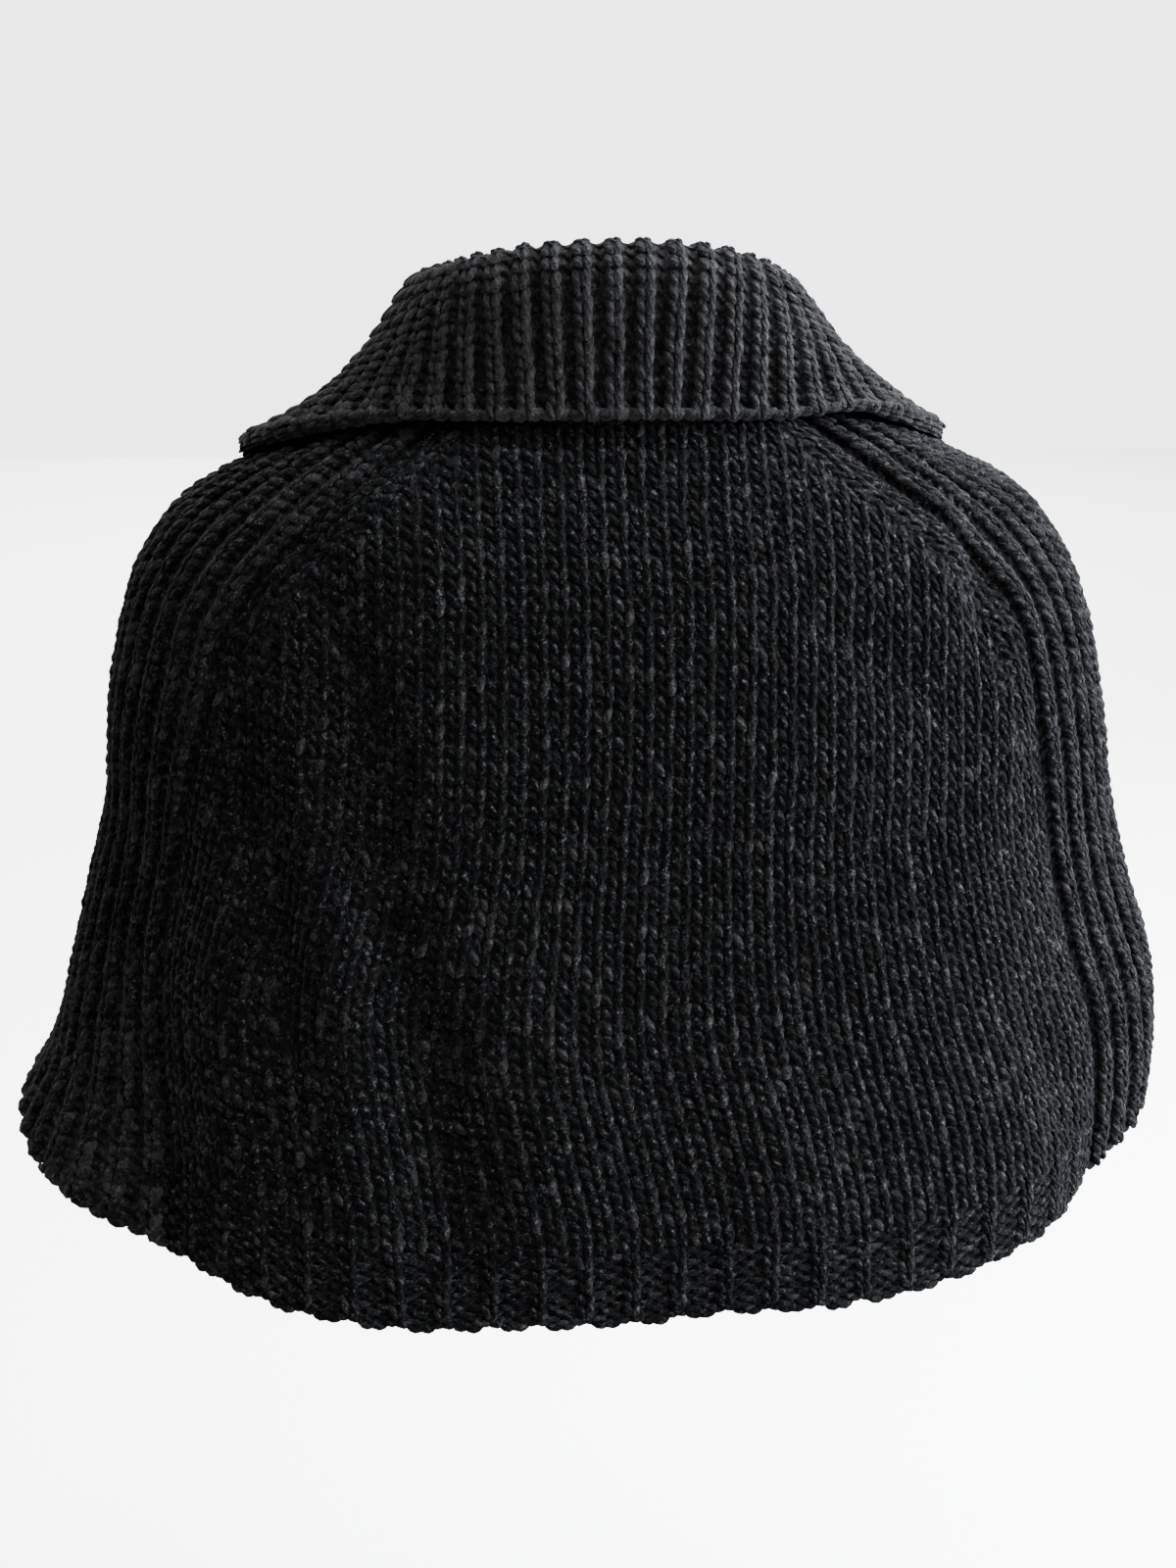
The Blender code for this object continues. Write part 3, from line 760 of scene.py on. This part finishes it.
# The two side panels. Each is knitted in one-by-one rib from the collar over the shoulder to the hem:
# fifteen raised knit wales with sunk purl wales between them, and it is sewn to the back and front by raglan
# seams.
LEFT_CUT = dict(zip(CUT_COLUMNS, ((1, 1), (1, -1), 30, 5, 74, 0.28)))
RIGHT_CUT = dict(zip(CUT_COLUMNS, ((-1, -1), (-1, 1), 30, 5, 72, 0.28)))
SEAM_LAP = 0.0016
RIB_GAUGE = (0.0073, 0.0062)
RIB_LEGS = ((LEG_LEFT, 0.22, -0.34, 0.35), (LEG_RIGHT, -0.26, 0.22, -0.35))
RIB_LEG_STRETCH = (0.95, 1.06, 0.95)
RIB_RIDGE = 0.0034
LEG_SINK = 0.0006
CLOTH_SINK = 0.0004
FIRST_RISE = 0.03
RIDGE_INSIDE = 0.5
RIB_DIVISIONS = 4
# The purls in the rib's valleys carry painted shade: their yarn is darkened where shade falls between the
# raised wales.
VALLEY_YARN = dict(slant=ACROSS, tilt=0, height=-0.0014, stretch=(1, 0.95, 0.8), shade=-0.16)
RIB_HEM_LEVEL = 0.998
RIB_HEM_YARN = dict(slant=ACROSS - 0.12, tilt=0, height=0.0010, stretch=(1.2, 1.1, 1.3))


def ribbed_panel(node, cut, seed):
    """One-by-one rib: wavy cloth with knit wales on its ridges and purl bumps in its valleys, the purls
    darkened by painted shade.
    """
    panel = Panel(cut, SEAM_LAP)
    half = cut["wales"] // 2
    row = 1 / cut["rows"]
    stitches = Stitches(BODY, panel.turn_of, RIB_GAUGE, seed, half)
    rows, wales = panel.stitch_places(np.arange(-half + 1, half))
    ridge = np.round(wales) % 2 == 0
    valley = ~ridge
    for leg, aside, slant, roll in RIB_LEGS:
        stitches.lay(leg, rows[ridge], wales[ridge] + aside, row, slant, roll=roll,
                     height=RIB_RIDGE - LEG_SINK, stretch=RIB_LEG_STRETCH)
    stitches.lay(PURL, rows[valley], wales[valley], row, **VALLEY_YARN)
    edge = np.arange(-half, half) + 0.5
    stitches.lay(PURL, np.full(edge.shape, RIB_HEM_LEVEL), edge, row, **RIB_HEM_YARN)
    columns, steps = np.linspace(-half, half, RIB_DIVISIONS * cut["wales"] + 1), np.arange(cut["rows"] + 1)
    levels, lines = np.meshgrid(steps * row, columns, indexing="ij")
    points, _, _, out, _, _ = cloth_frame(BODY, panel.turn_of, levels, lines)
    raised = (0.5 + 0.5 * np.cos(np.pi * lines)) * RIB_RIDGE * np.clip(levels / FIRST_RISE, 0, 1)
    outer = points + out * (OUTER + raised - CLOTH_SINK - stitches.groove(lines))[..., None]
    inner = points - out * (INNER - RIDGE_INSIDE * raised)[..., None]
    cloth = shell(node + "_cloth", outer, inner, False, columns, steps)
    cloth.data.materials.append(WOOL_UNDER)
    finish_cloth(cloth, stitches.knit(node + "_stitches", WOOL), node)


ribbed_panel("shoulder_left", LEFT_CUT, seed=21)
ribbed_panel("shoulder_right", RIGHT_CUT, seed=22)


# The collar: one deep ring of one-by-one rib, picked up round the neck. It stands up and folds over as a
# wide cowl, with its free edge loose on the shoulders. Its sections have the body's columns up to the droop.
COLLAR_SECTIONS = (
    (0.00, 0.0835, 0.0805, -0.002, -0.002, 0.0800, 0.012, 0.0850, -0.050, 2.2, 1.8),
    (0.05, 0.0800, 0.0770, 0.001, 0.001, 0.0780, 0.018, 0.0830, -0.044, 2.2, 1.8),
    (0.14, 0.0770, 0.0745, 0.013, 0.012, 0.0770, 0.032, 0.0820, -0.032, 2.2, 1.8),
    (0.28, 0.0790, 0.0755, 0.036, 0.033, 0.0780, 0.052, 0.0860, -0.014, 2.3, 1.8),
    (0.40, 0.0815, 0.0765, 0.051, 0.046, 0.0790, 0.067, 0.0920, -0.002, 2.4, 1.8),
    (0.48, 0.0870, 0.0820, 0.057, 0.051, 0.0870, 0.075, 0.1020, 0.002, 2.4, 1.8),
    (0.56, 0.0960, 0.0895, 0.047, 0.042, 0.0955, 0.068, 0.1100, -0.007, 2.3, 1.8),
    (0.70, 0.1145, 0.1060, 0.020, 0.020, 0.0965, 0.047, 0.1150, -0.032, 2.2, 1.5),
    (0.85, 0.1375, 0.1310, -0.002, -0.002, 0.0950, 0.023, 0.1190, -0.060, 2.0, 1.2),
    (1.00, 0.1730, 0.1560, -0.0240, -0.0205, 0.0940, 0.001, 0.1240, -0.088, 1.85, 0.9),
)
COLLAR = named(BODY_COLUMNS, COLLAR_SECTIONS)
EDGE_WAVE_COLUMNS = ("angle", "width", "rise")
EDGE_WAVE_ROWS = (
    (-1.08, 0.24, 0.050),
    (0.95, 0.28, 0.020),
)
EDGE_WAVE_POWER = 8
EDGE_WAVES = named(EDGE_WAVE_COLUMNS, EDGE_WAVE_ROWS)
COLLAR_WALES = 112
COLLAR_ROWS = 25
ROW_DIVISIONS = 2
COLLAR_FOLD = 0.48
FOLD_CROWDING = 0.27
EDGE_CROWDING = -0.20
COLLAR_GAUGE = (0.0071, 0.0063)
COLLAR_RIDGE = 0.0028
# Painted light: every length of the collar is lightened, standing for the light its upturned slope catches
# from above.
COLLAR_PAINTED_LIGHT = 0.18
COLLAR_VALLEY = dict(slant=ACROSS, tilt=0, stretch=(1, 1, 0.8))
COLLAR_VALLEY_SINK = 0.0010
ROLL_LEVEL = 0.975
EDGE_ROLL, ROLL_WIDTH = 0.0012, 0.025
EDGE_UNDER, UNDER_WIDTH = 0.0042, 0.030
UNDER_FADE, UNDER_AT_ENDS = 4, 0.15
# The lengths round the free edge: the level of each round, and its height.
EDGE_YARN = dict(slant=ACROSS - 0.12, tilt=0, stretch=(1.3, 1.2, 1.2))
EDGE_YARNS = ((0.984, 0.0030), (0.996, 0.0014), (0.9995, -0.0006), (0.996, -0.0026))


def drawn_up(level, angle):
    """The collar's level, drawn back from its edge where the edge waves up."""
    for at, width, rise in zip(*(EDGE_WAVES[name] for name in EDGE_WAVE_COLUMNS)):
        level = level - rise * level**EDGE_WAVE_POWER * np.exp(-((turn_between(angle, at) / width) ** 2))
    return level


class CollarRing:
    """The collar's wales and rows: turns a wale and a level into an angle round the neck."""

    def __init__(self):
        self.levels = np.linspace(0, 1, PANEL_STEPS)
        self.angles = np.linspace(0, 2 * np.pi, 4 * ARC_STEPS + 1)
        steps = np.linalg.norm(np.diff(ring(COLLAR, self.levels[:, None], self.angles), axis=1), axis=2)
        self.along = np.concatenate([np.zeros((len(self.levels), 1)), np.cumsum(steps, axis=1)], axis=1)
        self.crowd = np.interp(self.levels, (0, COLLAR_FOLD, 1), (0, FOLD_CROWDING, EDGE_CROWDING))
        back = np.linalg.norm(np.diff(ring(COLLAR, self.levels, 0.0), axis=0), axis=1)
        self.length = np.concatenate([[0], np.cumsum(back)])

    def level(self, row):
        """The level of a row, counted from the neck in equal steps up the back."""
        return np.interp(row / COLLAR_ROWS * self.length[-1], self.length, self.levels)

    def turn_of(self, level, wale):
        """The angle where a wale crosses a level."""
        level, wale = np.broadcast_arrays(np.asarray(level, float), np.asarray(wale, float))
        at = np.clip(level, 0, 1) * (len(self.levels) - 1)
        low = np.minimum(at.astype(int), len(self.levels) - 2)
        part = at - low
        turn = wale / COLLAR_WALES
        found = np.zeros(level.shape)
        for row in np.unique(low):
            here = low == row
            for other, weight in ((row, 1 - part[here]), (row + 1, part[here])):
                share = turn[here] + self.crowd[other] * np.sin(4 * np.pi * turn[here]) / (4 * np.pi)
                whole = np.floor(share)
                angle = np.interp((share - whole) * self.along[other, -1], self.along[other], self.angles)
                found[here] += weight * (angle + 2 * np.pi * whole)
        return found


def bead(level):
    """How much thicker the collar grows on its outside, where its free edge rolls."""
    return EDGE_ROLL * np.exp(-(((level - ROLL_LEVEL) / ROLL_WIDTH) ** 2))


def under_bead(level, angle):
    """The same on its inside, but for the two ends that lie on the shoulders."""
    full = EDGE_UNDER * np.exp(-(((level - ROLL_LEVEL) / UNDER_WIDTH) ** 2))
    return full * np.clip(UNDER_FADE * np.abs(np.cos(angle)), UNDER_AT_ENDS, 1)


def folded_collar(node, seed):
    """The collar's cloth and stitches, the stitches lightened by painted light."""
    neck = CollarRing()
    stitches = Stitches(COLLAR, neck.turn_of, COLLAR_GAUGE, seed, painted_light_offset=COLLAR_PAINTED_LIGHT)
    order, wales = np.meshgrid(np.arange(COLLAR_ROWS) + 0.5, np.arange(COLLAR_WALES), indexing="ij")
    rows, wales = neck.level(order.ravel()), wales.ravel().astype(float)
    step = neck.level(order.ravel() + 0.5) - neck.level(order.ravel() - 0.5)
    ridge = np.round(wales) % 2 == 1
    valley = ~ridge
    for leg, aside, slant, roll in RIB_LEGS:
        stitches.lay(leg, rows[ridge], wales[ridge] + aside, step[ridge], slant, roll=roll,
                     height=COLLAR_RIDGE - LEG_SINK + bead(rows[ridge]), stretch=RIB_LEG_STRETCH)
    stitches.lay(PURL, rows[valley], wales[valley], step[valley],
                 height=bead(rows[valley]) - COLLAR_VALLEY_SINK, **COLLAR_VALLEY)
    edge = np.arange(COLLAR_WALES) + 0.5
    for at, high in EDGE_YARNS:
        stitches.lay(PURL, np.full(edge.shape, at), edge, step[-1], height=high, **EDGE_YARN)
    columns = np.arange(RIB_DIVISIONS * COLLAR_WALES) / RIB_DIVISIONS
    steps = np.linspace(0, COLLAR_ROWS, ROW_DIVISIONS * COLLAR_ROWS + 1)
    levels, lines = np.meshgrid(neck.level(steps), columns, indexing="ij")
    points, _, _, out, _, _ = cloth_frame(COLLAR, neck.turn_of, levels, lines)
    raised = (0.5 - 0.5 * np.cos(np.pi * lines)) * COLLAR_RIDGE * np.clip(levels / FIRST_RISE, 0, 1)
    outer = points + out * (OUTER + raised - CLOTH_SINK + bead(levels))[..., None]
    under = under_bead(levels, neck.turn_of(levels, lines))
    inner = points - out * (INNER - RIDGE_INSIDE * raised + under)[..., None]
    cloth = shell(node + "_cloth", outer, inner, True, columns, steps)
    cloth.data.materials.append(WOOL_UNDER)
    finish_cloth(cloth, stitches.knit(node + "_stitches", WOOL), node)


folded_collar("collar", seed=31)


# The stage: a plain pale floor, soft studio lights and a pale wall of light behind the garment, seen by a
# camera at the photograph's angle. None of it belongs to the garment.
FLOOR_HALF = 6
FLOOR_Z = -0.75
FLOOR_COLOUR = (0.46, 0.46, 0.46, 1)
FLOOR_ROUGHNESS = 0.9
floor_mesh = bpy.data.meshes.new("floor")
corners = [(x * FLOOR_HALF, y * FLOOR_HALF, FLOOR_Z) for x, y in ((-1, -1), (1, -1), (1, 1), (-1, 1))]
floor_mesh.from_pydata(corners, [], [(0, 1, 2, 3)])
floor = bpy.data.objects.new("floor", floor_mesh)
bpy.context.scene.collection.objects.link(floor)
pale = bpy.data.materials.new("pale floor")
pale.use_nodes = True
pale.node_tree.nodes["Principled BSDF"].inputs["Base Color"].default_value = FLOOR_COLOUR
pale.node_tree.nodes["Principled BSDF"].inputs["Roughness"].default_value = FLOOR_ROUGHNESS
floor_mesh.materials.append(pale)

LOOK_AT = Vector((0.011, 0, -0.19))
AZIMUTH, ELEVATION, DISTANCE = np.radians(175.7), np.radians(13), 1.5
LENS = 70.3
level_part = np.cos(ELEVATION)
toward = Vector((np.sin(AZIMUTH) * level_part, -np.cos(AZIMUTH) * level_part, np.sin(ELEVATION)))
camera = bpy.data.objects.new("camera", bpy.data.cameras.new("camera"))
camera.location = LOOK_AT + DISTANCE * toward
camera.rotation_euler = toward.to_track_quat("Z", "Y").to_euler()
camera.data.lens = LENS
camera.data.sensor_fit = "AUTO"
bpy.context.scene.collection.objects.link(camera)
bpy.context.scene.camera = camera


def soft_light(name, place, size, power, colour=(1, 1, 1), facing=LOOK_AT):
    """A large soft studio light that faces the garment, or another place."""
    lamp = bpy.data.objects.new(name, bpy.data.lights.new(name, "AREA"))
    lamp.data.size = size
    lamp.data.energy = power
    lamp.data.color = colour
    lamp.location = place
    lamp.rotation_euler = (Vector(place) - Vector(facing)).to_track_quat("Z", "Y").to_euler()
    bpy.context.scene.collection.objects.link(lamp)


soft_light("key light", (-2.4, 0.1, 0.9), 1.8, 1750, (0.88, 0.94, 1.0))
soft_light("window light", (-1.8, 1.4, 0.7), 0.9, 240, (0.96, 0.98, 1.0))
soft_light("top light", (-0.35, 0.1, 2.0), 2.0, 460)
soft_light("front light", (-0.9, -2.0, 0.9), 1.6, 90)
soft_light("far side light", (1.9, -1.1, 0.8), 1.4, 80)
soft_light("backdrop light", (0.0, -4.6, 1.4), 3.8, 950, facing=(0.0, -4.7, FLOOR_Z))

# The room's own light: brighter overhead, brightest behind the garment, and dim on the garment's dark side.
ROOM_COLUMNS = ("way", "blend", "from_low", "from_high", "to_low", "to_high")
ROOM_LIGHT = (
    ("Z", "LINEAR", 0.25, 1.00, 1.15, 1.90),
    ("Y", "SMOOTHSTEP", -0.80, -0.95, 0.0, 3.2),
    ("X", "SMOOTHSTEP", 0.25, 0.90, 0.0, -0.75),
)
ROOM_COLOUR = (0.9, 0.9, 0.9, 1)
world = bpy.data.worlds.new("studio")
world.use_nodes = True
room, joins = world.node_tree.nodes, world.node_tree.links
around = room.new("ShaderNodeTexCoord")
ways = room.new("ShaderNodeSeparateXYZ")
joins.new(around.outputs["Generated"], ways.inputs[0])
strength = None
for room_row in ROOM_LIGHT:
    share = dict(zip(ROOM_COLUMNS, room_row))
    ranged = room.new("ShaderNodeMapRange")
    ranged.interpolation_type = share["blend"]
    ranged.inputs["From Min"].default_value = share["from_low"]
    ranged.inputs["From Max"].default_value = share["from_high"]
    ranged.inputs["To Min"].default_value = share["to_low"]
    ranged.inputs["To Max"].default_value = share["to_high"]
    joins.new(ways.outputs[share["way"]], ranged.inputs["Value"])
    if strength is None:
        strength = ranged.outputs[0]
        continue
    added = room.new("ShaderNodeMath")
    added.operation = "ADD"
    joins.new(strength, added.inputs[0])
    joins.new(ranged.outputs[0], added.inputs[1])
    strength = added.outputs[0]
joins.new(strength, room["Background"].inputs["Strength"])
room["Background"].inputs["Color"].default_value = ROOM_COLOUR
bpy.context.scene.world = world
